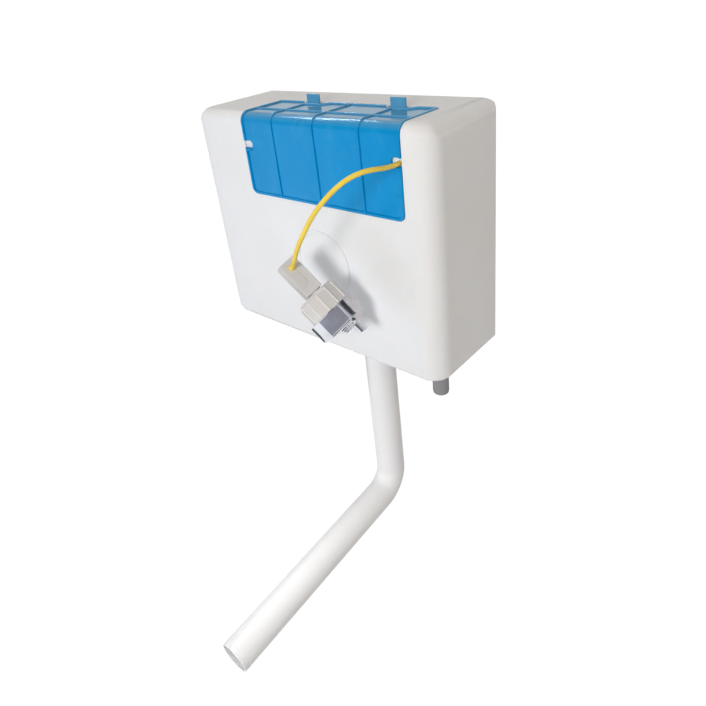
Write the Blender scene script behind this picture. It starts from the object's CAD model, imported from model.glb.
"""Looks of a wall-hung toilet cistern with a cable-pull handle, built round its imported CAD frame."""

import logging
import math
from dataclasses import dataclass, field
from enum import Enum
from typing import Callable, Iterable, Optional, Sequence, Union

import bmesh
import bpy
from mathutils import Euler, Matrix, Vector


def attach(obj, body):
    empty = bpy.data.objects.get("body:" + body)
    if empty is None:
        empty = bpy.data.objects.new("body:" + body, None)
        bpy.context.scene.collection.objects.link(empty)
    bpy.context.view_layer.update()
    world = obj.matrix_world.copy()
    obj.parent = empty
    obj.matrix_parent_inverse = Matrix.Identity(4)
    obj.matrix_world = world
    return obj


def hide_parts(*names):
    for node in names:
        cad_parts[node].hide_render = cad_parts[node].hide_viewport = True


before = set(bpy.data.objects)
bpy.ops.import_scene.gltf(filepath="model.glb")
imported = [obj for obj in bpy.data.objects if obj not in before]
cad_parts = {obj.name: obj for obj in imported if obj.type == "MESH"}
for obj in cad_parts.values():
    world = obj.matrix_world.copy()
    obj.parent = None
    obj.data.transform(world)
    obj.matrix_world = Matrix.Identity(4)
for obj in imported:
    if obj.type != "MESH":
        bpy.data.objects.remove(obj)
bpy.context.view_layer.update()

LOG = logging.getLogger("cistern")
MM = 0.001
Colour = tuple[float, float, float, float]
Number = Union[int, float]
Pair = tuple[float, float]
Point = tuple[float, float, float]


class Body(Enum):
    """The CAD bodies that pieces ride on."""

    CISTERN = "cistern"
    PANEL = "panel"
    LEVER = "lever"


class Slot(Enum):
    """The record's material slots."""

    TANK = "tank"
    PANEL = "panel_blue"
    VALVE = "valve_white"
    INLET = "inlet_grey"
    RUBBER = "seal_rubber"
    PIPE = "pipe_white"
    CABLE = "cable_yellow"
    HOUSING = "housing_grey"
    CHROME = "chrome"
    STEEL = "steel"
    BRASS = "nipple_brass"


def srgb(red: Number, green: Number, blue: Number) -> Colour:
    """Turns a display colour into the linear colour that a shader takes.

    Args:
        red: Red from 0 to 255.
        green: Green from 0 to 255.
        blue: Blue from 0 to 255.

    Returns:
        The linear colour, opaque.
    """
    def channel(value: Number) -> float:
        """Gives one channel's linear value."""
        c = value / 255
        return c / 12.92 if c <= 0.04045 else ((c + 0.055) / 1.055) ** 2.4

    return channel(red), channel(green), channel(blue), 1.0


# Node trees


class Term:
    """An output socket with arithmetic that adds Math nodes to its tree."""

    def __init__(self, tree: "Tree", socket: bpy.types.NodeSocket) -> None:
        """Keeps the socket and the tree that it is in."""
        self.tree = tree
        self.socket = socket

    def _math(self, operation: str, first: "Operand", second: "Operand") -> "Term":
        """Adds one Math node."""
        return self.tree.node("ShaderNodeMath", {"operation": operation}, {0: first, 1: second})

    def __add__(self, other: "Operand") -> "Term":
        """Sum."""
        return self._math("ADD", self, other)

    def __radd__(self, other: "Operand") -> "Term":
        """Sum, with the number first."""
        return self._math("ADD", other, self)

    def __sub__(self, other: "Operand") -> "Term":
        """Difference."""
        return self._math("SUBTRACT", self, other)

    def __rsub__(self, other: "Operand") -> "Term":
        """Difference, with the number first."""
        return self._math("SUBTRACT", other, self)

    def __mul__(self, other: "Operand") -> "Term":
        """Product."""
        return self._math("MULTIPLY", self, other)

    def __rmul__(self, other: "Operand") -> "Term":
        """Product, with the number first."""
        return self._math("MULTIPLY", other, self)

    def __truediv__(self, other: "Operand") -> "Term":
        """Quotient."""
        return self._math("DIVIDE", self, other)

    def __rtruediv__(self, other: "Operand") -> "Term":
        """Quotient, with the number first."""
        return self._math("DIVIDE", other, self)

    def __or__(self, other: "Operand") -> "Term":
        """The larger of the two."""
        return self._math("MAXIMUM", self, other)


Operand = Union[Term, Number]


class Tree:
    """A node tree that is written node by node."""

    def __init__(self, tree: bpy.types.NodeTree) -> None:
        """Keeps the tree."""
        self.tree = tree

    def node(self, kind: str, settings: Optional[dict] = None, inputs: Optional[dict] = None,
             output: Union[int, str] = 0) -> Term:
        """Adds a node.

        Args:
            kind: The node's type.
            settings: Its settings, which are set first.
            inputs: Values or terms for its sockets, by name or number.
            output: The socket that is handed on.

        Returns:
            The chosen output.
        """
        made = self.tree.nodes.new(kind)
        for name, value in (settings or {}).items():
            setattr(made, name, value)
        for key, value in (inputs or {}).items():
            if isinstance(value, Term):
                self.tree.links.new(value.socket, made.inputs[key])
            else:
                made.inputs[key].default_value = value
        return Term(self, made.outputs[output] if len(made.outputs) else None)


class Paint(Tree):
    """The shader tree of one material, on Object coordinates."""

    def __init__(self, name: str) -> None:
        """Starts an empty material.

        Args:
            name: The material's name.
        """
        self.material = bpy.data.materials.new(name)
        self.material.use_nodes = True
        super().__init__(self.material.node_tree)
        self.tree.nodes.clear()
        self.place = self.node("ShaderNodeTexCoord", output="Object")

    def noise(self, scale: float, detail: float = 3.0, stretch: Sequence[float] = (1, 1, 1),
              shift: Sequence[float] = (0, 0, 0)) -> Term:
        """Adds a noise pattern.

        Args:
            scale: Features to the metre.
            detail: Octaves.
            stretch: Scale along each axis.
            shift: Offset of the pattern.

        Returns:
            The noise, from 0 to 1.
        """
        at = self.node("ShaderNodeMapping", {}, {"Vector": self.place, "Location": shift, "Scale": stretch})
        return self.node("ShaderNodeTexNoise", {}, {"Vector": at, "Scale": scale, "Detail": detail})

    def step(self, value: Term, low: float, high: float) -> Term:
        """Ramps a value from 0 at low to 1 at high."""
        return self.node("ShaderNodeMapRange", {}, {"Value": value, "From Min": low, "From Max": high})

    def split(self, vector: Term, axis: str) -> Term:
        """Takes one part of a vector."""
        return self.node("ShaderNodeSeparateXYZ", {}, {"Vector": vector}, axis)

    def blend(self, first: Union[Term, Colour], second: Union[Term, Colour], share: Operand) -> Term:
        """Mixes two colours by a share of the second."""
        return self.node("ShaderNodeMix", {"data_type": "RGBA"}, {0: share, 6: first, 7: second}, 2)

    def bump(self, height: Term, distance: float, strength: float) -> Term:
        """Turns a height into a normal."""
        return self.node("ShaderNodeBump", {}, {"Height": height, "Distance": distance, "Strength": strength})

    def surface(self, inputs: dict) -> bpy.types.Material:
        """Ends the material in one Principled shader.

        Args:
            inputs: Values and terms for its sockets.

        Returns:
            The material.
        """
        shader = self.node("ShaderNodeBsdfPrincipled", {}, inputs)
        self.node("ShaderNodeOutputMaterial", {}, {"Surface": shader})
        return self.material


# Finishes


@dataclass(frozen=True)
class Moulded:
    """Moulded plastic: clouded colour, drag marks, fine grain and a slightly uneven gloss."""

    name: str
    colour: Colour
    cloud: Colour
    rough: float = 0.35
    swing: float = 0.12
    cloud_scale: float = 14.0
    drag: Point = (1.0, 1.0, 0.12)
    scuff: Optional[Colour] = None
    scuff_share: float = 0.0
    grain: float = 0.00002
    ripple: float = 0.0
    gloss: float = 0.5
    tint: Colour = (1.0, 1.0, 1.0, 1.0)
    milk: float = 0.0
    dust: Optional[Colour] = None
    dust_share: float = 0.0
    dust_z: Pair = (0.0, 1.0)
    drag_scale: float = 90.0
    rub_scale: float = 30.0
    break_scale: float = 150.0
    rub_rough: float = 0.35
    grain_scale: float = 1400.0
    ripple_scale: float = 26.0
    milk_depth: float = 0.004

    def material(self) -> bpy.types.Material:
        """Builds the finish.

        Returns:
            The material.
        """
        paint = Paint(self.name)
        clouds = paint.step(paint.noise(self.cloud_scale, 4), 0.3, 0.7)
        drag = paint.noise(self.drag_scale, 3, self.drag, (0.3, 0.1, 0.7))
        colour = paint.blend(self.colour, self.cloud, clouds * 0.7 + drag * 0.3)
        rough = self.rough - self.swing / 2 + self.swing * drag
        if self.scuff:
            rubbed = paint.step(paint.noise(self.rub_scale, 5, (1, 1, 0.5), (1.7, 0.2, 0.4)), 0.5, 0.75)
            broken = paint.step(paint.noise(self.break_scale, 4), 0.3, 0.75)
            marks = rubbed * broken * self.scuff_share
            colour = paint.blend(colour, self.scuff, marks)
            rough = rough + marks * self.rub_rough
        if self.dust:
            film = paint.step(paint.split(paint.place, "Z"), *self.dust_z) * self.dust_share
            colour = paint.blend(colour, self.dust, film)
        height = paint.noise(self.grain_scale, 2) * self.grain + paint.noise(self.ripple_scale, 1) * self.ripple
        return paint.surface({
            "Base Color": colour, "Roughness": rough, "Normal": paint.bump(height, 1.0, 1.0),
            "Specular IOR Level": self.gloss, "Specular Tint": self.tint,
            "Subsurface Weight": self.milk, "Subsurface Scale": self.milk_depth})


@dataclass(frozen=True)
class Plated:
    """Bare or plated metal: smudged gloss, fine wipe marks and faint clouding."""

    name: str
    colour: Colour
    cloud: Colour
    rough: float = 0.08
    swing: float = 0.08
    wipe: Point = (1.0, 0.2, 1.0)
    grain: float = 0.000004
    ripple: float = 0.0
    metal: float = 1.0
    smudge_scale: float = 70.0
    wipe_scale: float = 900.0
    ripple_scale: float = 45.0

    def material(self) -> bpy.types.Material:
        """Builds the finish.

        Returns:
            The material.
        """
        paint = Paint(self.name)
        smudge = paint.step(paint.noise(self.smudge_scale, 5), 0.35, 0.75)
        wipe = paint.noise(self.wipe_scale, 3, self.wipe)
        colour = paint.blend(self.colour, self.cloud, smudge * 0.6 + wipe * 0.2)
        height = wipe * self.grain + paint.noise(self.ripple_scale, 1) * self.ripple
        return paint.surface({
            "Base Color": colour, "Metallic": self.metal, "Roughness": self.rough + self.swing * smudge,
            "Normal": paint.bump(height, 1.0, 1.0)})


class Finishes:
    """One finish for each material slot, built on first use."""

    def __init__(self) -> None:
        """Lists the finishes by slot."""
        self._made: dict[Slot, bpy.types.Material] = {}
        self._known: dict[Slot, Union[Moulded, Plated]] = {
            Slot.TANK: Moulded("tank_milky", srgb(241, 242, 244), srgb(236, 236, 236), 0.42, 0.1, 9,
                               ripple=0.0004, grain=0.000012, milk=0.12, gloss=0.4),
            Slot.PANEL: Moulded("panel_gloss_blue", srgb(2, 146, 208), srgb(4, 138, 200), 0.16, 0.08, 22,
                                scuff=srgb(96, 184, 226), scuff_share=0.3, ripple=0.00012,
                                grain=0.000006, gloss=0.3, tint=srgb(36, 180, 255),
                                dust=srgb(152, 187, 186), dust_share=0.3, dust_z=(0.141, 0.1495)),
            Slot.VALVE: Moulded("valve_white", srgb(232, 233, 234), srgb(222, 224, 226), 0.4),
            Slot.INLET: Moulded("inlet_grey", srgb(150, 149, 151), srgb(136, 136, 139), 0.45),
            Slot.RUBBER: Moulded("seal_rubber", srgb(42, 42, 44), srgb(58, 57, 56), 0.7, 0.15, 60,
                                 grain=0.00005, gloss=0.3),
            Slot.PIPE: Moulded("pipe_white", srgb(243, 243, 244), srgb(237, 238, 240), 0.3, 0.1, 12,
                               grain=0.000002, gloss=0.45),
            Slot.CABLE: Moulded("cable_yellow", srgb(250, 221, 88), srgb(241, 208, 74), 0.42, 0.12, 60,
                                gloss=0.4),
            Slot.HOUSING: Moulded("housing_grey", srgb(219, 216, 214), srgb(209, 206, 204), 0.36, 0.12, 40,
                                  scuff=srgb(150, 150, 152), scuff_share=0.2),
            Slot.CHROME: Plated("chrome", srgb(234, 235, 239), srgb(196, 198, 208), 0.05, 0.07, ripple=0.00005,
                                metal=0.88),
            Slot.STEEL: Plated("steel", srgb(196, 197, 200), srgb(170, 171, 175), 0.25, 0.12,
                               (1.0, 1.0, 0.1), 0.00001),
            Slot.BRASS: Plated("nipple_brass", srgb(206, 170, 96), srgb(176, 138, 70), 0.25, 0.15),
        }

    def __getitem__(self, slot: Slot) -> bpy.types.Material:
        """Gives the material of a slot."""
        if slot not in self._made:
            self._made[slot] = self._known[slot].material()
        return self._made[slot]


FINISHES = Finishes()
WORN_EDGE = Moulded("housing_worn_edge", srgb(246, 244, 241), srgb(236, 234, 231), 0.28)


# Geometry trees


class Shaper(Tree):
    """A Geometry Nodes tree with named inputs, run once on a mesh to give a plain mesh."""

    SOCKETS = {float: "NodeSocketFloat", int: "NodeSocketInt"}

    def __init__(self, name: str, sizes: dict[str, Number]) -> None:
        """Starts the tree.

        Args:
            name: The tree's name.
            sizes: Its number inputs, with their usual values.
        """
        super().__init__(bpy.data.node_groups.new(name, "GeometryNodeTree"))
        face = self.tree.interface
        face.new_socket("Geometry", in_out="INPUT", socket_type="NodeSocketGeometry")
        self.keys: dict[str, str] = {}
        for label, value in sizes.items():
            made = face.new_socket(label, in_out="INPUT", socket_type=self.SOCKETS[type(value)])
            made.default_value = value
            self.keys[label] = made.identifier
        finish = face.new_socket("Finish", in_out="INPUT", socket_type="NodeSocketMaterial")
        self.keys["Finish"] = finish.identifier
        face.new_socket("Geometry", in_out="OUTPUT", socket_type="NodeSocketGeometry")
        self.group = self.node("NodeGroupInput")
        self.source = self.entry("Geometry")

    def entry(self, label: str) -> Term:
        """Gives one of the tree's inputs by name."""
        return Term(self, self.group.socket.node.outputs[label])

    def end(self, shape: Term) -> "Shaper":
        """Closes the tree: instances become real and take the finish.

        Args:
            shape: The geometry to hand out.

        Returns:
            The tree itself.
        """
        real = self.node("GeometryNodeRealizeInstances", {}, {"Geometry": shape})
        dressed = self.node("GeometryNodeSetMaterial", {}, {"Geometry": real, "Material": self.entry("Finish")})
        self.node("NodeGroupOutput", {}, {0: dressed})
        return self

    def run(self, mesh: bpy.types.Mesh, finish: bpy.types.Material, **sizes: Number) -> bpy.types.Mesh:
        """Runs the tree on a mesh.

        Args:
            mesh: What the tree starts from.
            finish: The material that it sets.
            sizes: Inputs by name, where they differ from the usual ones.

        Returns:
            The finished mesh.
        """
        carrier = in_scene("carrier", mesh)
        modifier = carrier.modifiers.new("shape", "NODES")
        modifier.node_group = self.tree
        for label, value in sizes.items():
            modifier[self.keys[label]] = value
        modifier[self.keys["Finish"]] = finish
        made = evaluated_mesh(carrier)
        bpy.data.objects.remove(carrier)
        return made


def in_scene(name: str, data: bpy.types.ID) -> bpy.types.Object:
    """Makes an object of stored data and links it to the scene.

    Args:
        name: The object's name.
        data: Its mesh, lamp or camera.

    Returns:
        The object.
    """
    made = bpy.data.objects.new(name, data)
    bpy.context.scene.collection.objects.link(made)
    return made


def evaluated_mesh(obj: bpy.types.Object) -> bpy.types.Mesh:
    """Gives a plain mesh of an object with its modifiers applied.

    Args:
        obj: The object.

    Returns:
        The mesh.
    """
    bpy.context.view_layer.update()
    graph = bpy.context.evaluated_depsgraph_get()
    return bpy.data.meshes.new_from_object(obj.evaluated_get(graph), depsgraph=graph)


def bead_tree() -> Shaper:
    """Builds the tree that runs a rounded bar along the polylines of a mesh.

    Returns:
        The tree, with inputs Width, Height, Edge and Step.
    """
    tree = Shaper("bead_along_edge", {"Width": 3.0, "Height": 2.3, "Edge": 0.8, "Step": 2.0})
    line = tree.node("GeometryNodeMeshToCurve", {}, {"Mesh": tree.source})
    fine = tree.node("GeometryNodeResampleCurve", {"mode": "LENGTH"}, {"Curve": line, "Length": tree.entry("Step")})
    upright = tree.node("GeometryNodeSetCurveNormal", {"mode": "Z_UP"}, {"Curve": fine})
    box = tree.node("GeometryNodeCurvePrimitiveQuadrilateral", {"mode": "RECTANGLE"},
                    {"Width": tree.entry("Width"), "Height": tree.entry("Height")})
    soft = tree.node("GeometryNodeFilletCurve", {"mode": "POLY"},
                     {"Curve": box, "Count": 3, "Radius": tree.entry("Edge")})
    bar = tree.node("GeometryNodeCurveToMesh", {},
                    {"Curve": upright, "Profile Curve": soft, "Fill Caps": True})
    return tree.end(bar)


def row_tree() -> Shaper:
    """Builds the tree that sets copies of a mesh side by side along X.

    Returns:
        The tree, with inputs Count and Spacing.
    """
    tree = Shaper("row_of_ribs", {"Count": 3, "Spacing": 65.0})
    offset = tree.node("ShaderNodeCombineXYZ", {}, {"X": tree.entry("Spacing")})
    line = tree.node("GeometryNodeMeshLine", {"mode": "OFFSET"}, {"Count": tree.entry("Count"), "Offset": offset})
    row = tree.node("GeometryNodeInstanceOnPoints", {}, {"Points": line, "Instance": tree.source})
    return tree.end(row)


def tube_tree() -> Shaper:
    """Builds the tree that skins a round tube along a polyline.

    Returns:
        The tree, with inputs Radius and Sides.
    """
    tree = Shaper("tube_on_path", {"Radius": 2.5, "Sides": 20})
    line = tree.node("GeometryNodeMeshToCurve", {}, {"Mesh": tree.source})
    ring = tree.node("GeometryNodeCurvePrimitiveCircle", {},
                     {"Resolution": tree.entry("Sides"), "Radius": tree.entry("Radius")})
    skin = tree.node("GeometryNodeCurveToMesh", {}, {"Curve": line, "Profile Curve": ring, "Fill Caps": True})
    return tree.end(skin)


def coil_tree() -> Shaper:
    """Builds the tree that winds a round wire into a helix along Z.

    Returns:
        The tree, with inputs Turns, Radius, Length, Wire and Steps.
    """
    tree = Shaper("wound_wire", {"Turns": 9.0, "Radius": 5.2, "Length": 26.0, "Wire": 0.65, "Steps": 28})
    helix = tree.node("GeometryNodeCurveSpiral", {}, {
        "Resolution": tree.entry("Steps"), "Rotations": tree.entry("Turns"), "Start Radius": tree.entry("Radius"),
        "End Radius": tree.entry("Radius"), "Height": tree.entry("Length")})
    ring = tree.node("GeometryNodeCurvePrimitiveCircle", {}, {"Resolution": 10, "Radius": tree.entry("Wire")})
    wire = tree.node("GeometryNodeCurveToMesh", {}, {"Curve": helix, "Profile Curve": ring, "Fill Caps": True})
    return tree.end(wire)


def ring_tree() -> Shaper:
    """Builds the tree that sets copies of a mesh round the X axis.

    Returns:
        The tree, with inputs Count and Start, the first copy's turn in radians.
    """
    tree = Shaper("round_the_axis", {"Count": 12, "Start": 0.0})
    points = tree.node("GeometryNodePoints", {}, {"Count": tree.entry("Count")})
    index = tree.node("GeometryNodeInputIndex")
    turn = index * (2 * math.pi) / tree.entry("Count") + tree.entry("Start")
    angles = tree.node("ShaderNodeCombineXYZ", {}, {"X": turn})
    rotation = tree.node("FunctionNodeEulerToRotation", {}, {"Euler": angles})
    ring = tree.node("GeometryNodeInstanceOnPoints", {},
                     {"Points": points, "Instance": tree.source, "Rotation": rotation})
    return tree.end(ring)


# Meshes, in millimetres until they are placed


@dataclass
class Track:
    """A path with a frame that doesn't twist, measured by distance along it."""

    points: list[Vector]
    at_s: list[float] = field(default_factory=list)
    sides: list[Vector] = field(default_factory=list)

    def __post_init__(self) -> None:
        """Measures the path and carries a side direction along it."""
        self.at_s = [0.0]
        for a, b in zip(self.points, self.points[1:]):
            self.at_s.append(self.at_s[-1] + (b - a).length)
        first = self.tangent(0)
        side = first.orthogonal().normalized()
        self.sides = [side]
        for i in range(1, len(self.points)):
            turn = self.tangent(i - 1).rotation_difference(self.tangent(i))
            side = turn @ side
            self.sides.append(side)

    @property
    def length(self) -> float:
        """The path's length."""
        return self.at_s[-1]

    def tangent(self, i: int) -> Vector:
        """Gives the direction at a point of the path."""
        last = len(self.points) - 1
        return (self.points[min(i + 1, last)] - self.points[max(i - 1, 0)]).normalized()

    def at(self, s: float) -> tuple[Vector, Vector, Vector]:
        """Gives the place and frame at a distance.

        Args:
            s: Distance along the path; the ends run on straight.

        Returns:
            The point and the two directions across the path.
        """
        i = 0
        while i < len(self.points) - 2 and self.at_s[i + 1] < s:
            i += 1
        span = self.at_s[i + 1] - self.at_s[i]
        t = (s - self.at_s[i]) / span
        share = min(max(t, 0.0), 1.0)
        ahead = self.tangent(i).lerp(self.tangent(i + 1), share).normalized()
        side = self.sides[i].lerp(self.sides[i + 1], share)
        side = (side - ahead * side.dot(ahead)).normalized()
        return self.points[i].lerp(self.points[i + 1], t), side, ahead.cross(side)


def straight(start: Sequence[float], end: Sequence[float]) -> Track:
    """Gives a straight track between two points."""
    return Track([Vector(start), Vector(end)])


def smooth_route(points: Sequence[Sequence[float]], steps: int = 8) -> list[Vector]:
    """Runs a smooth curve through points.

    Args:
        points: The points.
        steps: Pieces between two of them.

    Returns:
        The curve's points.
    """
    knots = [Vector(p) for p in points]
    ends = [knots[0] * 2 - knots[1], *knots, knots[-1] * 2 - knots[-2]]
    route: list[Vector] = []
    for p0, p1, p2, p3 in zip(ends, ends[1:], ends[2:], ends[3:]):
        for i in range(steps):
            t = i / steps
            route.append(0.5 * (2 * p1 + (p2 - p0) * t + (2 * p0 - 5 * p1 + 4 * p2 - p3) * t * t
                                + (3 * p1 - p0 - 3 * p2 + p3) * t ** 3))
    return route + [knots[-1]]


def filleted(corners: Sequence[Sequence[float]], steps: int = 5) -> list[tuple[float, float]]:
    """Rounds the corners of a closed outline.

    Args:
        corners: Points (x, y) or (x, y, radius).
        steps: Pieces of each rounding.

    Returns:
        The outline's points.
    """
    made: list[tuple[float, float]] = []
    count = len(corners)
    for i, corner in enumerate(corners):
        here = Vector(corner[:2])
        radius = corner[2] if len(corner) > 2 else 0.0
        before = (Vector(corners[i - 1][:2]) - here).normalized()
        after = (Vector(corners[(i + 1) % count][:2]) - here).normalized()
        half = before.angle(after) / 2 if radius else 0
        if not radius or half > math.radians(88):
            made.append(tuple(here))
            continue
        reach = radius / math.tan(half)
        middle = here + (before + after).normalized() * (radius / math.sin(half))
        start, end = here + before * reach - middle, here + after * reach - middle
        for k in range(steps + 1):
            spoke = start.lerp(end, k / steps).normalized() * radius
            made.append(tuple(middle + spoke))
    return made


def skin(track: Track, loop: Sequence[Pair], sides: int) -> bmesh.types.BMesh:
    """Turns a closed outline of (distance, radius) round a track.

    Args:
        track: The axis, straight or bent.
        loop: The outline.
        sides: Pieces round the axis.

    Returns:
        A closed mesh that faces outwards.
    """
    bm = bmesh.new()
    rings = []
    for s, r in loop:
        centre, side, up = track.at(s)
        turns = [2 * math.pi * k / sides for k in range(sides)]
        rings.append([bm.verts.new(centre + (side * math.cos(a) + up * math.sin(a)) * r) for a in turns])
    radii = [r for _, r in loop]
    for i, ring in enumerate(rings):
        j = (i + 1) % len(rings)
        if radii[i] < 1e-6 and radii[j] < 1e-6:
            continue
        for k in range(sides):
            n = (k + 1) % sides
            bm.faces.new((ring[k], ring[n], rings[j][n], rings[j][k]))
    bmesh.ops.remove_doubles(bm, verts=bm.verts, dist=1e-4)
    bmesh.ops.recalc_face_normals(bm, faces=bm.faces)
    return bm


def prism(outline: Sequence[tuple[float, float]], low: float, high: float) -> bmesh.types.BMesh:
    """Raises an outline in XY between two heights.

    Args:
        outline: The outline's points.
        low: Lower height.
        high: Upper height.

    Returns:
        A closed mesh that faces outwards.
    """
    bm = bmesh.new()
    under = [bm.verts.new((x, y, low)) for x, y in outline]
    over = [bm.verts.new((x, y, high)) for x, y in outline]
    bm.faces.new(under[::-1])
    bm.faces.new(over)
    for i in range(len(outline)):
        j = (i + 1) % len(outline)
        bm.faces.new((under[i], under[j], over[j], over[i]))
    bmesh.ops.recalc_face_normals(bm, faces=bm.faces)
    return bm


def slab(low: Sequence[float], high: Sequence[float]) -> bmesh.types.BMesh:
    """Gives a block between two corners."""
    outline = [(low[0], low[1]), (high[0], low[1]), (high[0], high[1]), (low[0], high[1])]
    return prism(outline, low[2], high[2])


def bevel(bm: bmesh.types.BMesh, edges: list[bmesh.types.BMEdge], width: float, segments: int) -> None:
    """Rounds chosen edges of a mesh.

    Args:
        bm: The mesh.
        edges: The edges.
        width: Width of the rounding.
        segments: Pieces across it.
    """
    bmesh.ops.bevel(bm, geom=edges, offset=width, segments=segments, profile=0.5, affect="EDGES",
                    clamp_overlap=True, loop_slide=True)


def soften(bm: bmesh.types.BMesh, width: float, segments: int = 2, angle: float = 35.0) -> bmesh.types.BMesh:
    """Rounds the sharp edges of a mesh.

    Args:
        bm: The mesh.
        width: Width of the rounding.
        segments: Pieces across it.
        angle: Edges that turn by more than this are rounded.

    Returns:
        The same mesh.
    """
    limit = math.radians(angle)
    sharp = [e for e in bm.edges if len(e.link_faces) == 2 and e.calc_face_angle(0) > limit]
    bevel(bm, sharp, width, segments)
    return bm


def slice_up(bm: bmesh.types.BMesh, axis: int, places: Iterable[float]) -> bmesh.types.BMesh:
    """Cuts the faces of a mesh along planes, so that it can bend.

    Args:
        bm: The mesh, whose faces become triangles first.
        axis: The axis that the planes cross.
        places: Where they cross it.

    Returns:
        The same mesh.
    """
    bmesh.ops.triangulate(bm, faces=[f for f in bm.faces if len(f.verts) > 3])
    normal = [0.0, 0.0, 0.0]
    normal[axis] = 1.0
    for place in places:
        point = [c * place for c in normal]
        geometry = [*bm.verts, *bm.edges, *bm.faces]
        bmesh.ops.bisect_plane(bm, geom=geometry, dist=1e-4, plane_co=point, plane_no=normal)
    return bm


def merged(*parts: bmesh.types.BMesh) -> bmesh.types.BMesh:
    """Joins meshes into the first of them.

    Args:
        parts: The meshes.

    Returns:
        The first mesh, with the others in it.
    """
    whole = parts[0]
    for part in parts[1:]:
        mesh = bpy.data.meshes.new("part")
        part.to_mesh(mesh)
        whole.from_mesh(mesh)
        part.free()
        bpy.data.meshes.remove(mesh)
    return whole


def as_mesh(bm: bmesh.types.BMesh, name: str) -> bpy.types.Mesh:
    """Turns an edited mesh into stored data.

    Args:
        bm: The edited mesh, which is freed.
        name: The stored mesh's name.

    Returns:
        The stored mesh.
    """
    mesh = bpy.data.meshes.new(name)
    bm.to_mesh(mesh)
    bm.free()
    return mesh


def polylines(lines: Sequence[Sequence[Sequence[float]]], name: str) -> bpy.types.Mesh:
    """Stores open lines as edges.

    Args:
        lines: The lines' points.
        name: The mesh's name.

    Returns:
        The mesh.
    """
    points: list[tuple[float, ...]] = []
    edges: list[tuple[int, int]] = []
    for line in lines:
        start = len(points)
        points.extend(tuple(p) for p in line)
        edges.extend((start + i, start + i + 1) for i in range(len(line) - 1))
    mesh = bpy.data.meshes.new(name)
    mesh.from_pydata(points, edges, [])
    return mesh


def joined(name: str, *meshes: bpy.types.Mesh) -> bpy.types.Mesh:
    """Joins stored meshes into one.

    Args:
        name: The new mesh's name.
        meshes: The meshes.

    Returns:
        The new mesh.
    """
    bm = bmesh.new()
    for mesh in meshes:
        bm.from_mesh(mesh)
    return as_mesh(bm, name)


def refined(node: str, width: float, segments: int = 3, angle: float = 32.0,
            first: Optional[Callable[[bmesh.types.BMesh], None]] = None) -> bpy.types.Mesh:
    """Copies a CAD node and rounds its edges.

    Args:
        node: The node's name.
        width: Width of the rounding.
        segments: Pieces across it.
        angle: Edges that turn by more than this are rounded.
        first: Shaping that comes before the rounding.

    Returns:
        The mesh, in millimetres.
    """
    bm = bmesh.new()
    bm.from_mesh(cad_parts[node].data)
    bmesh.ops.scale(bm, vec=(1 / MM,) * 3, verts=bm.verts)
    bmesh.ops.remove_doubles(bm, verts=bm.verts, dist=0.002)
    bmesh.ops.dissolve_limit(bm, angle_limit=math.radians(0.7), verts=bm.verts, edges=bm.edges)
    if first:
        first(bm)
    carrier = in_scene("carrier", as_mesh(bm, node))
    rounding = carrier.modifiers.new("rounding", "BEVEL")
    rounding.width = width
    rounding.segments = segments
    rounding.limit_method = "ANGLE"
    rounding.angle_limit = math.radians(angle)
    made = evaluated_mesh(carrier)
    bpy.data.objects.remove(carrier)
    return made


# Placing


def place(name: str, mesh: bpy.types.Mesh, slot: Slot, body: Body, stands_for: Sequence[str] = (),
          frame_mm: Optional[Matrix] = None, smooth: float = 32.0,
          finish: Optional[Moulded] = None) -> bpy.types.Object:
    """Puts a finished mesh in the scene.

    Args:
        name: The piece's name.
        mesh: Its mesh, in millimetres.
        slot: Its material slot.
        body: The body that it rides on.
        stands_for: The CAD nodes that it replaces.
        frame_mm: Where it goes, if its mesh isn't in place yet.
        smooth: Edges that turn by less than this look smooth.
        finish: A finish in place of the slot's own.

    Returns:
        The piece.
    """
    mesh.transform(Matrix.Scale(MM, 4) @ (frame_mm or Matrix.Identity(4)))
    mesh.materials.clear()
    mesh.materials.append(finish.material() if finish else FINISHES[slot])
    mesh.shade_smooth()
    mesh.set_sharp_from_angle(angle=math.radians(smooth))
    mesh.name = name
    piece = in_scene(name, mesh)
    weigh = piece.modifiers.new("weigh", "WEIGHTED_NORMAL")
    weigh.keep_sharp = True
    piece.data = evaluated_mesh(piece)
    piece.data.name = name
    piece.modifiers.clear()
    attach(piece, body.value)
    if stands_for:
        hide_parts(*stands_for)
    LOG.info("%s: %d faces, on %s", name, len(mesh.polygons), body.value)
    return piece


# The cistern


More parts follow.
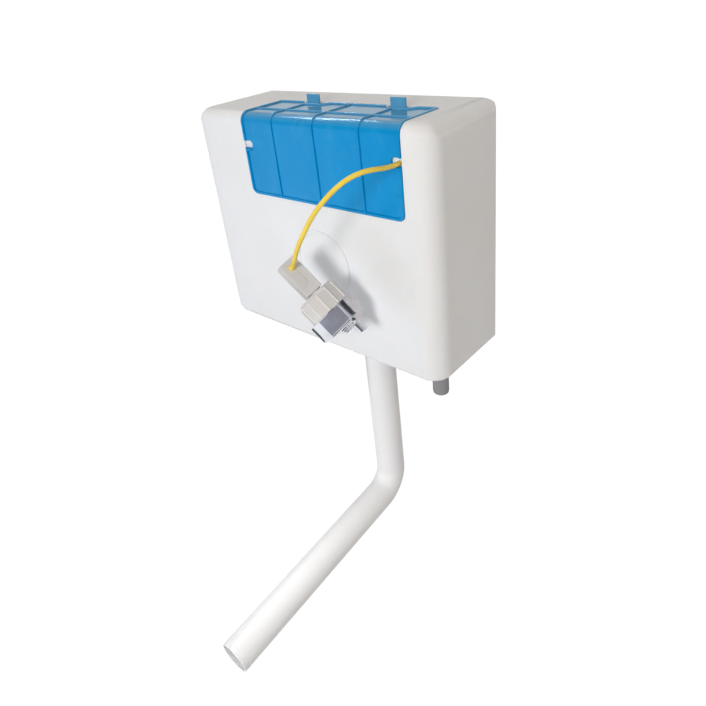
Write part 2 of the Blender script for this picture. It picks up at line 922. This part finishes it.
@dataclass
class Cable:
    """The yellow cable from the valve, out through the panel's right-hand notch, to the handle."""

    diameter: float = 5.0
    sides: int = 20
    route: tuple[Point, ...] = (
        (40, -68.5, 90), (40, -68.5, 98), (41.5, -69, 106), (46, -71, 114), (54, -74, 120),
        (65, -78, 123.5), (78, -82.5, 124.5), (91, -87, 123.5), (104, -92.5, 121.5), (116, -98.5, 118.5),
        (127, -105.5, 115.5), (136.5, -113, 113), (144, -121.5, 111), (148.5, -130.5, 110), (150.5, -140, 110),
        (151, -150, 110.8), (151, -160, 112), (150.5, -170, 113.8), (148.5, -180, 115), (144, -190, 114.2),
        (137.5, -199, 110.5), (130, -206.5, 104), (121.5, -212.5, 95), (113, -217, 85), (105, -220, 74.5),
        (97.5, -221.8, 63.5), (90, -222.5, 52.5), (82, -222, 41.5), (74, -220, 30.5), (65.5, -216, 19.5),
        (57.5, -211.5, 11), (50, -207.5, 4.5))

    def build(self) -> None:
        track = Track(smooth_route(self.route))
        line = polylines([track.points], "cable_line")
        mesh = tube_tree().run(line, FINISHES[Slot.CABLE], Radius=self.diameter / 2, Sides=self.sides)
        sheath = place("cable", mesh, Slot.CABLE, Body.CISTERN, ["cable_sheath"], smooth=60)
        path = [tuple(p * MM) for p in track.points]
        path[0]
        track.length * MM


@dataclass
class Tank:
    """The milky tank: the CAD shell with softened edges, its emblem's rim and the seal round the cable."""

    rounding: float = 0.4
    emblem: tuple[float, float, float, float] = (24.0, -138.1, -27.0, 43.0)
    rim: Point = (5.0, 1.6, 0.75)
    rim_steps: int = 96
    seal: tuple[Point, Point] = ((133.6, -133.7, 106.9), (154.1, -131.2, 115.5))
    seal_edge: float = 0.5

    def build(self) -> None:
        """Makes the shell, the emblem's raised rim and the seal in the slot behind the right-hand notch."""
        place("tank", refined("tank_shell", self.rounding, 2, 40), Slot.TANK, Body.CISTERN, ["tank_shell"])
        seal = soften(slab(*self.seal), self.seal_edge)
        place("cable_seal", as_mesh(seal, "seal"), Slot.TANK, Body.CISTERN)
        x, y, z, radius = self.emblem
        wide, high, edge = self.rim
        reach = radius - wide / 2
        turns = [2 * math.pi * i / self.rim_steps for i in range(self.rim_steps + 1)]
        circle = [(reach * math.cos(a), reach * math.sin(a), 0) for a in turns]
        rim = bead_tree().run(polylines([circle], "rim"), FINISHES[Slot.TANK], Width=wide, Height=high, Edge=edge)
        upright = Matrix.Translation((x, y, z)) @ Matrix.Rotation(math.pi / 2, 4, "X")
        place("emblem_rim", rim, Slot.TANK, Body.CISTERN, (), upright, 60)


@dataclass
class Panel:
    """The blue access panel over the tank's top front edge, drawn flat and then bent over it."""

    left: float = -84.0
    right: float = 154.0
    rear: float = -67.0
    low: float = 49.0
    bend: Pair = (-125.0, 137.0)
    inner_r: float = 9.3
    plate: float = 2.2
    top: float = 4.0
    rim: float = 3.0
    rib: float = 2.0
    rib_x: Point = (-31.0, 35.0, 101.0)
    cross_y: float = -111.0
    clips: Pair = (-18.0, 108.0)
    jog: Point = (11.0, 9.0, 10.0)
    notch_z: float = 111.2
    notch_half: float = 4.2
    notch_deep: float = 13.0
    opening: Pair = (-63.5, 133.5)
    open_low: float = 69.5
    skirt: float = 4.8
    skirt_near: float = 5.5
    skirt_wall: float = 2.0
    skirt_root: float = 0.3
    pad: Point = (1.0, 2.0, 3.0)
    pad_root: float = 2.0
    rear_r: float = 3.0
    jog_r: float = 2.0
    low_r: float = 8.0
    notch_lip: float = 0.6
    notch_flat: float = 0.05
    bead_root: float = 0.5
    rim_sink: float = 0.25
    rib_sink: float = 0.35
    rib_lower: float = 0.2
    rib_inset: float = 1.0
    cross_steps: int = 24
    bend_steps: int = 18

    def __post_init__(self) -> None:
        """Works out the flat lengths."""
        self.flat_top = self.rear - self.bend[0]
        self.turn = (self.inner_r + self.plate) * math.pi / 2
        self.end = self.flat_top + self.turn + self.bend[1] - self.low
        self.bead_h = (self.plate + self.top) / 2

    def run_at(self, z: float) -> float:
        """Gives the flat distance of a height on the front."""
        return self.flat_top + self.turn + self.bend[1] - z

    def bent(self, co: Vector) -> Vector:
        """Bends a point of the flat drawing over the tank's edge.

        Args:
            co: Place along X, distance from the rear edge, height over the panel's inside.

        Returns:
            The point in place.
        """
        x, s, h = co
        r = self.inner_r + h
        if s < self.flat_top:
            return Vector((x, self.rear - s, self.bend[1] + r))
        a = min((s - self.flat_top) / self.turn, 1.0) * math.pi / 2
        drop = max(s - self.flat_top - self.turn, 0.0)
        return Vector((x, self.bend[0] - r * math.sin(a), self.bend[1] + r * math.cos(a) - drop))

    def rear_edge(self, inset: float) -> list[tuple[float, ...]]:
        """Draws the rear edge with its jogs round the clips, from right to left.

        Args:
            inset: Distance inside the edge.

        Returns:
            Corners with their radii.
        """
        line: list[tuple[float, ...]] = [(self.right - inset, inset, self.rear_r)]
        half, slant, deep = self.jog
        r = self.jog_r
        for x in reversed(self.clips):
            near = half + inset
            line += [(x + near + slant, inset, r), (x + near, deep + inset, r),
                     (x - near, deep + inset, r), (x - near - slant, inset, r)]
        return line + [(self.left + inset, inset, self.rear_r)]

    def notch(self, side: int) -> list[tuple[float, ...]]:
        """Draws a cable notch as corners of the outline.

        Args:
            side: -1 for the left edge and 1 for the right one.

        Returns:
            Corners in the order of the outline, which goes up the right side and down the left.
        """
        edge = self.left if side < 0 else self.right
        s = self.run_at(self.notch_z)
        inner = edge - side * self.notch_deep
        half = self.notch_half
        r = half - self.notch_flat
        return [(edge, s + side * half, self.notch_lip), (inner, s + side * half, r),
                (inner, s - side * half, r), (edge, s - side * half, self.notch_lip)]

    def outline(self) -> list[tuple[float, float]]:
        """Gives the panel's flat outline."""
        lower = [(self.left, self.end, self.low_r), (self.right, self.end, self.low_r)]
        return filleted([*self.notch(1), *self.rear_edge(0), *self.notch(-1), *lower])

    def beads(self) -> list[list[tuple[float, float, float]]]:
        """Gives the middle lines of the rim, which the notches interrupt.

        Returns:
            The upper line and the lower one.
        """
        half = self.rim / 2
        h = self.bead_h - self.rim_sink
        r = self.low_r - half
        s = self.run_at(self.notch_z)
        gap = self.notch_half
        upper = [(self.right - half, s - gap), *self.rear_edge(half), (self.left + half, s - gap)]
        lower = [(self.left + half, s + gap), (self.left + half, self.end - half, r),
                 (self.right - half, self.end - half, r), (self.right - half, s + gap)]
        return [[(x, y, h) for x, y in filleted(line)] for line in (upper, lower)]

    def bars(self) -> list[list[tuple[float, float, float]]]:
        """Gives the middle lines of the cross rib and of the middle rib's short rear end.

        Returns:
            The two lines.
        """
        h = self.bead_h - self.rib_sink
        cross = self.rear - self.cross_y
        span = self.right - self.left - 2 * self.rib_inset
        across = [(self.left + self.rib_inset + span * i / self.cross_steps, cross, h)
                  for i in range(self.cross_steps + 1)]
        x = self.rib_x[1]
        return [across, [(x, self.rim / 2, h), (x, self.jog[2] + self.rib, h)]]

    def skirts(self) -> bmesh.types.BMesh:
        """Draws the skirt that reaches into the tank's opening.

        Returns:
            The flat mesh.
        """
        x0, x1 = self.opening
        near, far_end = self.skirt_near, self.run_at(self.open_low)
        low, high = -self.skirt, self.skirt_root
        wall = self.skirt_wall
        walls = [slab((x0, near, low), (x0 + wall, far_end, high)), slab((x1 - wall, near, low), (x1, far_end, high)),
                 slab((x0 + wall / 2, far_end - wall, low), (x1 - wall / 2, far_end, high))]
        half = self.jog[0]
        sides = [x + turn * half for x in self.clips for turn in (-1, 1)]
        stops = [x0 + wall / 2, *sides, x1 - wall / 2]
        walls += [slab((a, near, low), (b, near + wall, high)) for a, b in zip(stops[::2], stops[1::2])]
        return merged(*walls)

    def pads(self) -> bmesh.types.BMesh:
        """Draws the raised pad under each notch.

        Returns:
            The flat mesh.
        """
        gap, wide, high = self.pad
        s = self.run_at(self.notch_z) + self.notch_half + gap
        edge = self.rim / 2
        reach = self.notch_deep - edge
        left = slab((self.left + edge, s, self.pad_root), (self.left + reach, s + wide, self.plate + high))
        right = slab((self.right - reach, s, self.pad_root), (self.right - edge, s + wide, self.plate + high))
        return soften(merged(left, right), 0.5)

    def cuts(self) -> list[float]:
        """Gives the distances where faces are cut for the bend."""
        return [self.flat_top + self.turn * i / self.bend_steps for i in range(self.bend_steps + 1)]

    def set_in_place(self, name: str, mesh: bpy.types.Mesh, stands_for: Sequence[str] = ()) -> None:
        """Bends a flat mesh and places it.

        Args:
            name: The piece's name.
            mesh: The flat mesh.
            stands_for: The CAD nodes that it replaces.
        """
        bm = bmesh.new()
        bm.from_mesh(mesh)
        bmesh.ops.remove_doubles(bm, verts=bm.verts, dist=1e-4)
        slice_up(bm, 1, self.cuts())
        for vert in bm.verts:
            vert.co = self.bent(vert.co)
        bmesh.ops.recalc_face_normals(bm, faces=bm.faces)
        place(name, as_mesh(bm, name), Slot.PANEL, Body.PANEL, stands_for)

    def build(self) -> None:
        """Makes the plate, the rim, the ribs and the clips."""
        plate = soften(prism(self.outline(), 0, self.plate), 0.4)
        flat = as_mesh(merged(plate, self.skirts(), self.pads()), "plate")
        self.set_in_place("panel_plate", flat, ["access_panel"])
        bead = bead_tree()
        finish = FINISHES[Slot.PANEL]
        high = self.top - self.plate + self.bead_root
        rim = bead.run(polylines(self.beads(), "rim"), finish, Width=self.rim, Height=high, Edge=0.8, Step=1.2)
        self.set_in_place("panel_rim", rim)
        thin = {"Width": self.rib, "Height": high - self.rib_lower, "Edge": 0.7, "Step": 1.5}
        x, ahead, _ = self.rib_x
        h = self.bead_h - self.rib_sink
        line = [(x, self.jog[2] + self.rib_inset, h), (x, self.end - self.rim / 2, h)]
        rib = bead.run(polylines([line], "rib"), finish, **thin)
        row = row_tree().run(rib, finish, Count=len(self.rib_x), Spacing=ahead - x)
        cross = bead.run(polylines(self.bars(), "bars"), finish, **thin)
        self.set_in_place("panel_ribs", joined("panel_ribs", row, cross))
        place("clips", refined("panel_clips", 0.35), Slot.PANEL, Body.PANEL, ["panel_clips"])


@dataclass
class FlushPipe:
    """The white flush pipe: an upright leg, one bend and a leg that falls slightly to its open end."""

    at: Pair = (40.0, -68.5)
    top: float = -151.2
    bend_start: float = -393.179
    bend_r: float = 38.0
    turn: float = 85.0
    end: Point = (40.0, -394.256, -456.5)
    outer: float = 21.0
    bore: float = 19.0
    lips: Pair = (0.5, 0.8)
    lip_clear: float = 2.0
    leg_steps: int = 12
    bend_steps: int = 36
    sides: int = 64

    def track(self) -> Track:
        """Gives the pipe's middle line.

        Returns:
            The track, from the tank to the open end.
        """
        x, y = self.at
        legs = self.leg_steps
        drop = self.bend_start - self.top
        points = [Vector((x, y, self.top + drop * i / legs)) for i in range(legs)]
        for i in range(self.bend_steps + 1):
            a = math.radians(self.turn * i / self.bend_steps)
            ahead, down = self.bend_r * (1 - math.cos(a)), self.bend_r * math.sin(a)
            points.append(Vector((x, y - ahead, self.bend_start - down)))
        last = points[-1]
        return Track(points + [last.lerp(Vector(self.end), i / legs) for i in range(1, legs + 1)])

    def build(self) -> None:
        """Skins the pipe with a rounded lip at its open end."""
        track = self.track()
        length = track.length
        upper, lower = self.lips
        lips = filleted([(0, self.bore, upper), (0, self.outer, upper), (length, self.outer, lower),
                         (length, self.bore, lower)], 4)
        stations = [s for s in track.at_s if self.lip_clear < s < length - self.lip_clear]
        split = next(i for i, (s, _) in enumerate(lips) if s > length / 2)
        loop = [*lips[:split], *((s, self.outer) for s in stations), *lips[split:],
                *((s, self.bore) for s in reversed(stations))]
        place("flush_pipe_skin", as_mesh(skin(track, loop, self.sides), "pipe"), Slot.PIPE, Body.CISTERN,
              ["flush_pipe"], smooth=40)


@dataclass
class Inlet:
    """The fill valve's threaded tail and riser, and the nuts and washers under the tank."""

    at: Pair = (145.0, -75.0)
    end: float = -207.0
    thread_top: float = -159.0
    pitch: float = 1.814
    wire: float = 0.5
    wire_sink: float = 0.1
    lead_in: float = 2.0
    run_out: float = 3.0
    core: float = 10.05
    bore: float = 6.0
    neck: Pair = (0.6, 10.18)
    flange: Point = (-143.0, -139.0, 18.0)
    ring: Point = (-27.0, -25.0, 15.0)
    riser: Pair = (58.0, 11.0)
    sides: int = 56

    NUTS = (("inlet_backnut", Slot.INLET), ("outlet_backnut", Slot.VALVE), ("pipe_nut", Slot.VALVE))
    WASHERS = ("outlet_washer", "inlet_washer", "pipe_seal")

    def profile(self) -> list[Pair]:
        """Gives the outline of the tail, its flange and the riser, as heights and radii.

        Returns:
            The outline's points.
        """
        rise, neck = self.neck
        low, high, flange = self.flange
        under, over, ring = self.ring
        top, riser = self.riser
        return filleted([
            (self.end, self.bore, 0.6), (self.end, self.core, 0.8), (self.thread_top, self.core),
            (self.thread_top + rise, neck), (low, neck), (low, flange, 0.8), (high, flange, 0.8), (high, riser),
            (under, riser), (under, ring, 0.5), (over, ring, 0.5), (over, riser), (top, riser, 0.5),
            (top, self.bore, 0.5)], 3)

    def build(self) -> None:
        """Makes the tail with its thread, and rounds the clamping pieces."""
        x, y = self.at
        loop = [(z - self.end, r) for z, r in self.profile()]
        body = skin(straight((x, y, self.end), (x, y, self.riser[0])), loop, self.sides)
        length = self.thread_top - self.end - self.run_out
        thread = coil_tree().run(bpy.data.meshes.new("seed"), FINISHES[Slot.INLET], Turns=length / self.pitch,
                                 Radius=self.core - self.wire_sink, Length=length, Wire=self.wire, Steps=40)
        thread.transform(Matrix.Translation((x, y, self.end + self.lead_in)))
        mesh = joined("inlet", as_mesh(body, "tail"), thread)
        place("inlet_tail", mesh, Slot.INLET, Body.CISTERN, ["fill_valve_body"], smooth=40)
        for node, slot in self.NUTS:
            place(node + "_soft", refined(node, 0.5), slot, Body.CISTERN, [node])
        for node in self.WASHERS:
            place(node + "_soft", refined(node, 0.3, 2), Slot.RUBBER, Body.CISTERN, [node])


@dataclass
class Handle:
    """The flush handle on the cable's end: block, ring nut, chrome lever, peg and stepped cap."""

    origin: Point = (66.2030701, -196.4437157, -28.7222681)
    angles: Point = (33.0, 45.0, 14.0)
    cable_u: float = -36.5
    face_n: float = 11.0
    flare: tuple[tuple[float, ...], ...] = (
        (-1.8, 0), (-1.8, 2.6, 0.3), (0.02, 2.6), (0.02, 3.8, 0.3), (1.4, 3.7, 1.0), (3.6, 2.95, 0.6),
        (3.8, 2.3, 0.2), (2.4, 0))
    flare_top: float = 4.0
    collar: Pair = (0.8, 26.0)
    collar_r: float = 25.0
    collar_sides: int = 12
    collar_bevel: float = 4.0
    sleeve_r: float = 10.1
    collar_edges: Point = (1.5, 3.5, 0.8)
    ridge: float = 0.65
    ridge_root: float = 1.2
    ridge_ends: Pair = (1.0, 0.4)
    spring: Pair = (-31.5, -6.0)
    dome: float = 3.5
    dome_steps: int = 7
    front_depth: float = 0.05
    cap_clear: float = 0.5
    cap_edges: Pair = (0.3, 0.7)
    cap_dish: Point = (0.8, 3.0, 1.0)
    cap: tuple[Pair, ...] = ((50.0, 10.5), (52.5, 8.5), (55.0, 6.5), (57.5, 6.5))

    ROUNDED = (
        ("block", "cable_housing", 0.45, 3, Slot.HOUSING, Body.CISTERN),
        ("block_cover", "housing_cover", 0.3, 3, Slot.HOUSING, Body.CISTERN),
        ("boss", "lever_boss", 0.9, 4, Slot.CHROME, Body.LEVER),
        ("arm", "lever_arm", 0.9, 4, Slot.CHROME, Body.LEVER),
        ("peg", "finger_peg", 0.4, 3, Slot.CHROME, Body.LEVER),
    )

    def __post_init__(self) -> None:
        """Works out where the handle hangs: local X is its axis, local Z looks out of the cable face."""
        turn = Euler([math.radians(a) for a in self.angles], "XYZ").to_matrix().to_4x4()
        self.at = Matrix.Translation(self.origin) @ turn

    def ferrule(self) -> None:
        """Makes the flared end of the cable in the block."""
        n = self.face_n
        low = n + self.flare[0][0]
        corners = [(n + out, *rest) for out, *rest in self.flare]
        loop = [(s - low, r) for s, r in filleted(corners, 4)]
        axis = straight((self.cable_u, 0, low), (self.cable_u, 0, n + self.flare_top))
        bm = skin(axis, loop, 40)
        place("handle_ferrule_flared", as_mesh(bm, "ferrule"), Slot.CABLE, Body.CISTERN, ["handle_ferrule"],
              self.at, 50)

    def collar_nut(self) -> None:
        """Makes the ring nut with flat sides and a thin ridge on each corner."""
        u0, u1 = self.collar
        r, slope = self.collar_r, self.collar_bevel
        rear, front, end = self.collar_edges
        profile = filleted([(u0, self.sleeve_r), (u0, r - slope, rear), (u0 + slope, r, front), (u1, r, end),
                            (u1, self.sleeve_r)], 6)
        loop = [(u - u0, radius) for u, radius in profile]
        track = Track([Vector((u0, 0, 0)), Vector((u1, 0, 0))])
        half = math.pi / self.collar_sides
        side = Vector((0, math.sin(half), math.cos(half)))
        track.sides = [side, side]
        ring = as_mesh(skin(track, loop, self.collar_sides), "ring")
        w = self.ridge
        start, stop = self.ridge_ends
        bar = soften(slab((u0 + slope - start, -w, r - self.ridge_root), (u1 - stop, w, r + w)), 0.3)
        ridges = ring_tree().run(as_mesh(bar, "bar"), FINISHES[Slot.HOUSING], Count=self.collar_sides, Start=half)
        place("collar", ring, Slot.HOUSING, Body.CISTERN, ["collar_nut"], self.at, 20)
        place("collar_ridges", ridges, Slot.HOUSING, Body.CISTERN, (), self.at, 20, WORN_EDGE)

    def spring_coil(self) -> None:
        """Winds the return spring round the spindle."""
        u0, u1 = self.spring
        mesh = coil_tree().run(bpy.data.meshes.new("seed"), FINISHES[Slot.STEEL], Length=u1 - u0)
        mesh.transform(Matrix.Translation((u0, 0, 0)) @ Matrix.Rotation(math.pi / 2, 4, "Y"))
        place("spring", mesh, Slot.STEEL, Body.CISTERN, ["return_spring"], self.at, 60)

    def cap_rings(self) -> None:
        """Turns the stepped cap over the fixing screw."""
        u0 = self.cap[0][0]
        inner, outer = self.cap_edges
        steps: list[tuple[float, ...]] = [(u0, 0.0)]
        for (u, r), (ahead, _) in zip(self.cap, self.cap[1:]):
            steps += [(u, r, 0.0 if u == u0 else inner), (ahead, r, outer)]
        deep, wide, edge = self.cap_dish
        dish = self.cap[-1][0] - deep
        steps += [(dish, wide, edge), (dish, 0.0)]
        loop = [(u - u0, r) for u, r in filleted(steps, 4)]
        bm = skin(straight((u0, 0, 0), (u0 + 10, 0, 0)), loop, 56)
        place("cap", as_mesh(bm, "cap"), Slot.CHROME, Body.LEVER, ["lever_cap"], self.at, 40)

    def round_front(self, bm: bmesh.types.BMesh) -> None:
        """Rounds the front end of the boss.

        Args:
            bm: The boss, in place.
        """
        back = self.at.inverted()
        ends = [(e, [back @ v.co for v in e.verts]) for e in bm.edges]
        top = max(co.x for _, pair in ends for co in pair)
        reach = self.cap[0][1] + self.cap_clear
        front = [e for e, pair in ends
                 if all(co.x > top - self.front_depth and co.yz.length > reach for co in pair)]
        bevel(bm, front, self.dome, self.dome_steps)

    def build(self) -> None:
        """Makes every piece of the handle."""
        self.ferrule()
        self.collar_nut()
        self.spring_coil()
        for name, node, width, segments, slot, body in self.ROUNDED:
            first = self.round_front if node == "lever_boss" else None
            place(name, refined(node, width, segments, first=first), slot, body, [node])
        self.cap_rings()


class Inside:
    """The working pieces inside the tank and the block, which keep their CAD shapes."""

    NODES = {
        Slot.VALVE: ("flush_valve_body", "cable_bracket", "valve_plunger", "valve_float", "fill_valve_head",
                     "float_lever", "fill_float", "cable_drum"),
        Slot.RUBBER: ("valve_seal",),
        Slot.STEEL: ("lever_pin", "float_link", "inner_wire", "spindle", "spindle_screw"),
        Slot.CABLE: ("valve_ferrule",),
        Slot.BRASS: ("valve_nipple", "drum_nipple"),
    }

    def dress(self) -> None:
        """Gives each of these nodes its finish."""
        for slot, names in self.NODES.items():
            for name in names:
                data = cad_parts[name].data
                data.materials.clear()
                data.materials.append(FINISHES[slot])
                LOG.info("%s: CAD shape, %s", name, slot.value)


# Studio


@dataclass(frozen=True)
class Card:
    """A toned card for chrome and gloss to mirror: its reach is left, right, low and high of its centre."""

    name: str
    centre: Point
    aim: Point
    reach: tuple[float, float, float, float]
    tones: tuple[Colour, Colour]
    fade: Pair


@dataclass(frozen=True)
class Lamp:
    """A soft lamp: where it hangs, what it points at, its width, watts, tint and beam angle."""

    name: str
    place: Point
    aim: Point
    size: float
    power: float
    tint: Colour
    spread: float = 180.0
    mirrored: bool = True


HANDLE = (0.08, -0.2, -0.04)
MIDDLE = (0.03, -0.1, -0.05)
STRIP = (70.0, 70.0, 70.0, 1.0)
CARDS = (
    Card("card_plum", (0.95, -0.36, 0.72), (0.1, -0.2, -0.05), (-0.3, 0.034, -0.3, 0.3),
         (srgb(150, 160, 174), srgb(124, 120, 131)), (-0.07, 0.02)),
    Card("card_pale", (0.95, -0.36, 0.72), (0.1, -0.2, -0.05), (0.034, 0.25, -0.3, 0.3),
         (srgb(205, 200, 198), srgb(208, 204, 201)), (0.03, 0.2)),
    Card("card_behind", (0.89, -1.37, 0.39), HANDLE, (-0.5, 0.4, -0.45, 0.45),
         (srgb(104, 98, 108), srgb(146, 142, 148)), (-0.3, 0.3)),
    Card("card_front", (0.066, -1.36, -0.33), HANDLE, (-0.42, 0.5, -0.36, 0.36),
         (srgb(60, 55, 62), srgb(82, 76, 84)), (-0.2, 0.2)),
    Card("card_side", (0.84, -0.05, -0.17), HANDLE, (-0.22, 0.22, -0.25, 0.22),
         (srgb(58, 55, 66), srgb(88, 84, 94)), (-0.15, 0.15)),
    Card("card_rear", (0.78, 0.44, 0.70), HANDLE, (-0.3, 0.3, -0.3, 0.3),
         (srgb(150, 143, 150), srgb(124, 116, 126)), (-0.2, 0.2)),
    Card("card_strip", (-0.7, 0.07, 0.905), (0.035, -0.13, 0.145), (-0.3, 0.3, -0.012, 0.012),
         (STRIP, STRIP), (0.0, 0.1)),
    Card("card_dark", (-0.27, -0.11, -0.34), HANDLE, (-0.11, 0.11, -0.09, 0.07),
         (srgb(38, 40, 50), srgb(60, 62, 72)), (-0.05, 0.05)),
)
LAMPS = (
    Lamp("cool", (-0.8, -1.1, -0.3), MIDDLE, 0.6, 2.0, srgb(205, 225, 255)),
    Lamp("above", (-0.1, -0.3, 1.8), MIDDLE, 1.2, 1.3, srgb(228, 241, 255)),
    Lamp("key", (0.7, -2.3, 0.65), MIDDLE, 0.6, 29.5, srgb(253, 254, 255), mirrored=False),
    Lamp("warm", (0.95, -0.35, 0.45), MIDDLE, 0.4, 0.8, srgb(255, 240, 222), mirrored=False),
    Lamp("leg", (0.02, -0.34, -0.05), (0.04, -0.3, -0.45), 0.2, 0.15, srgb(255, 255, 255), 80.0, False),
)


@dataclass
class Studio:
    """Camera, soft lamps, pale floor and a white surround."""

    eye: Point = (0.50297, -0.58675, 0.26933)
    right: Point = (0.75162, 0.6514, -0.1037)
    down: Point = (0.22247, -0.39835, -0.88985)
    ahead: Point = (-0.62095, 0.64575, -0.44432)
    focal: float = 593.0
    axis_y: float = 282.0
    image: float = 706.0
    sensor: float = 36.0
    clip: Pair = (0.02, 60)
    floor_z: float = -0.72
    floor_half: float = 60.0
    floor_white: float = 0.92
    floor_tone: Colour = srgb(212, 212, 214)
    floor_glow: float = 1.1
    ambient: float = 0.36
    warmth: Colour = srgb(255, 247, 236)

    def camera(self) -> None:
        """Sets the camera where the photograph was taken from."""
        data = bpy.data.cameras.new("camera")
        data.sensor_width = self.sensor
        data.lens = self.sensor * self.focal / self.image
        data.shift_y = (self.axis_y - self.image / 2) / self.image
        data.clip_start, data.clip_end = self.clip
        camera = in_scene("camera", data)
        axes = Matrix((self.right, -Vector(self.down), -Vector(self.ahead))).transposed()
        camera.matrix_world = Matrix.Translation(self.eye) @ axes.to_4x4()
        bpy.context.scene.camera = camera

    def lamp(self, lamp: Lamp) -> None:
        """Hangs a soft lamp.

        Args:
            lamp: Its place, aim, size and light.
        """
        data = bpy.data.lights.new(lamp.name, "AREA")
        data.size = lamp.size
        data.spread = math.radians(lamp.spread)
        data.energy = lamp.power
        data.color = lamp.tint[:3]
        hung = in_scene(lamp.name, data)
        hung.visible_camera = False
        hung.visible_glossy = lamp.mirrored
        hung.location = lamp.place
        hung.rotation_euler = (Vector(lamp.aim) - Vector(lamp.place)).to_track_quat("-Z", "Y").to_euler()

    def seen(self, tree: Tree) -> Term:
        """Gives 1 for rays that show the surround: the camera's, mirrored and passed ones.

        Args:
            tree: The tree that asks.

        Returns:
            The share, 0 or 1.
        """
        path = tree.node("ShaderNodeLightPath", output="Is Camera Ray")
        rays = [Term(tree, path.socket.node.outputs[n]) for n in ("Is Glossy Ray", "Is Transmission Ray")]
        return path | rays[0] | rays[1]

    def world(self) -> None:
        """Makes the surround white to the eye and dimmer as a light."""
        world = bpy.data.worlds.new("surround")
        world.use_nodes = True
        bpy.context.scene.world = world
        tree = Tree(world.node_tree)
        tree.tree.nodes.clear()
        seen = self.seen(tree)
        strength = self.ambient + (1 - self.ambient) * seen
        tone = tree.node("ShaderNodeMix", {"data_type": "RGBA"}, {0: seen, 6: self.warmth, 7: (1, 1, 1, 1)}, 2)
        light = tree.node("ShaderNodeBackground", {}, {"Color": tone, "Strength": strength})
        tree.node("ShaderNodeOutputWorld", {}, {"Surface": light})

    def floor(self) -> None:
        """Lays the pale floor, which keeps a soft shadow."""
        reach = self.floor_half
        mesh = bpy.data.meshes.new("floor")
        mesh.from_pydata([(-reach, -reach, self.floor_z), (reach, -reach, self.floor_z),
                          (reach, reach, self.floor_z), (-reach, reach, self.floor_z)], [], [(0, 1, 2, 3)])
        paint = Paint("floor_pale")
        matt = paint.node("ShaderNodeBsdfDiffuse", {}, {"Color": self.floor_tone})
        white = paint.node("ShaderNodeEmission", {}, {"Color": (1, 1, 1, 1), "Strength": self.floor_glow})
        both = paint.node("ShaderNodeMixShader", {}, {0: self.seen(paint) * self.floor_white, 1: matt, 2: white})
        paint.node("ShaderNodeOutputMaterial", {}, {"Surface": both})
        mesh.materials.append(paint.material)
        floor = in_scene("floor", mesh)

    def card(self, card: Card) -> None:
        """Hangs a toned card that only mirrored rays see.

        Args:
            card: Its place, reach and tones.
        """
        centre = Vector(card.centre)
        back = (Vector(card.aim) - centre).normalized()
        side = back.cross((0, 0, 1)).normalized()
        up = side.cross(back)
        x0, x1, y0, y1 = card.reach
        mesh = bpy.data.meshes.new(card.name)
        mesh.from_pydata([(x0, y0, 0), (x1, y0, 0), (x1, y1, 0), (x0, y1, 0)], [], [(0, 1, 2, 3)])
        paint = Paint(card.name)
        across = paint.split(paint.node("ShaderNodeTexCoord", output="Object"), "X")
        tone = paint.blend(card.tones[0], card.tones[1], paint.step(across, *card.fade))
        glow = paint.node("ShaderNodeEmission", {}, {"Color": tone, "Strength": 1.0})
        paint.node("ShaderNodeOutputMaterial", {}, {"Surface": glow})
        mesh.materials.append(paint.material)
        held = in_scene(card.name, mesh)
        held.matrix_world = Matrix.Translation(centre) @ Matrix((side, up, -back)).transposed().to_4x4()
        held.visible_camera = held.visible_diffuse = held.visible_shadow = held.visible_transmission = False

    def build(self) -> None:
        """Sets up everything but the camera."""
        bpy.context.scene.view_settings.view_transform = "Standard"
        self.world()
        self.floor()
        for card in CARDS:
            self.card(card)
        for lamp in LAMPS:
            self.lamp(lamp)


def main() -> None:
    """Builds the cistern, sub-assembly by sub-assembly."""
    logging.basicConfig(level=logging.INFO, format="%(message)s")
    studio = Studio()
    studio.camera()
    makers: list[Callable[[], None]] = [
        Cable().build, Tank().build, Panel().build, FlushPipe().build, Inlet().build, Handle().build,
        Inside().dress, studio.build]
    for make in makers:
        make()


if __name__ == "__main__":
    main()
